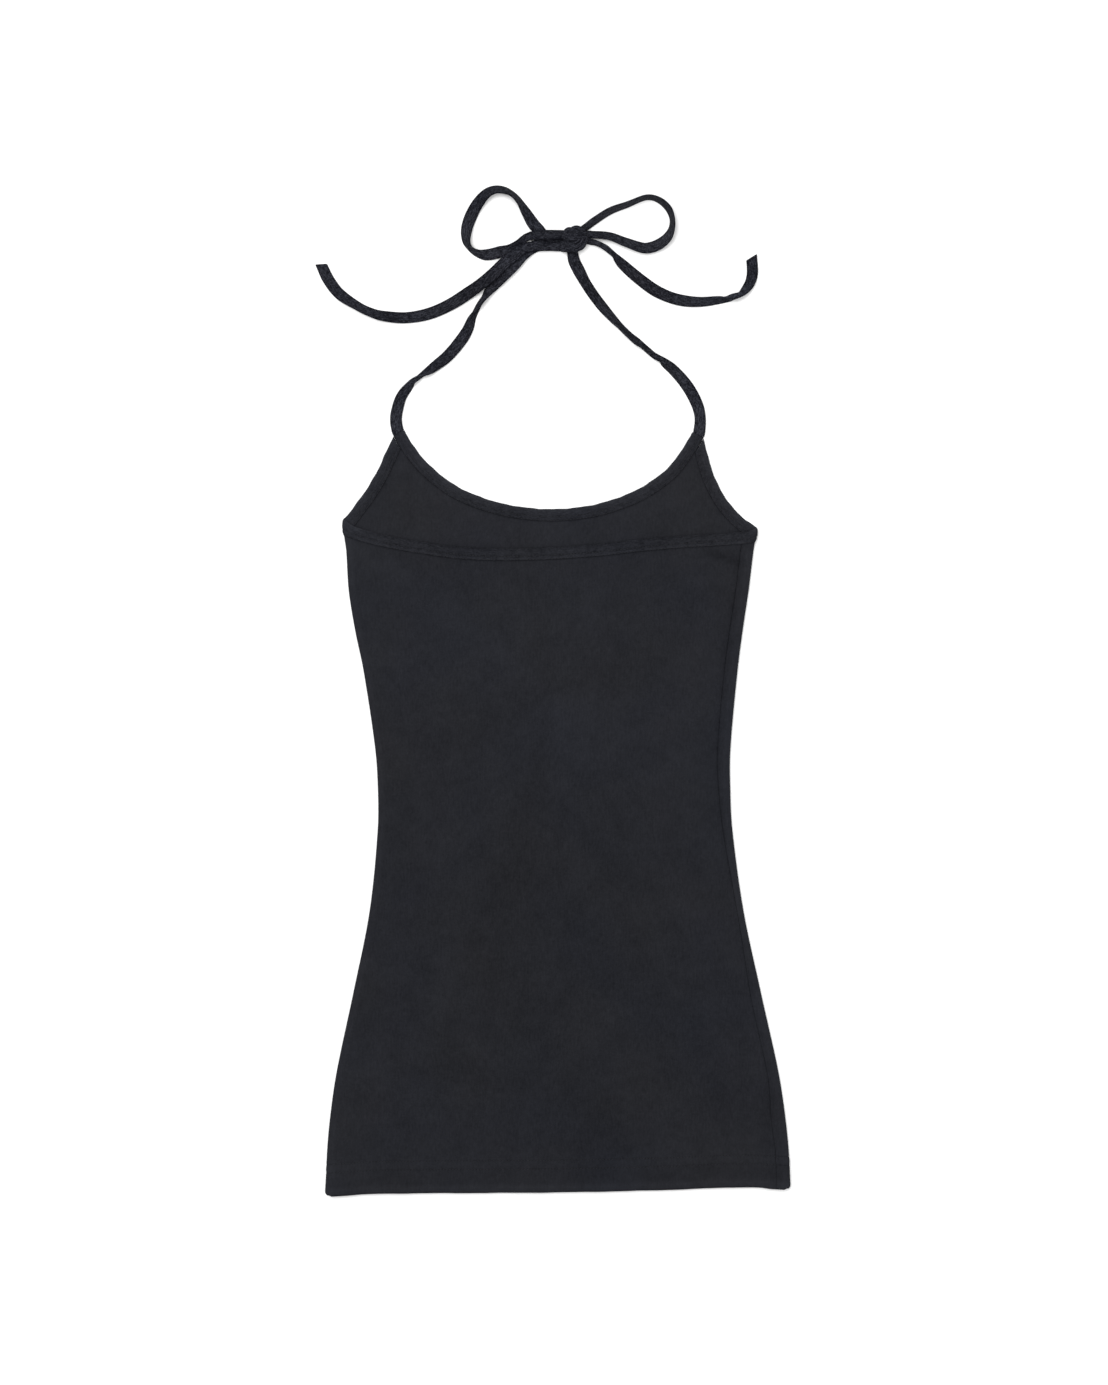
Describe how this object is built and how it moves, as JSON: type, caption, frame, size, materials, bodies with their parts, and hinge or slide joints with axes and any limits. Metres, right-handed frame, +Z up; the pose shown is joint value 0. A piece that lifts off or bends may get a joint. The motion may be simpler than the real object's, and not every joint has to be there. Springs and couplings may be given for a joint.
{
  "type": "halter neck top",
  "caption": "Sleeveless jersey halter top laid flat, back up, with bound edges and self ties knotted in a bow behind the neck.",
  "frame": {"origin": "centre of the laid garment on the surface that it lies on", "axes": "+X to the garment's right as seen from above, +Y from hem to bow, +Z up from the surface"},
  "size_m": [0.4165, 0.8892, 0.0096],
  "materials": {
    "jersey_body": "washed fine cotton jersey, matte",
    "jersey_binding": "folded jersey binding, twin needle stitched, matte",
    "jersey_tie": "folded jersey strip, slightly faded, matte"
  },
  "bodies": {
    "root": {"front_panel": "jersey_body", "back_panel": "jersey_body", "armhole_back_binding": "jersey_binding", "neck_binding": "jersey_binding", "strap_left": "jersey_tie", "strap_right": "jersey_tie", "tail_left": "jersey_tie", "tail_right": "jersey_tie", "loop_left": "jersey_tie", "loop_right": "jersey_tie", "knot": "jersey_tie"}
  },
  "joints": []
}
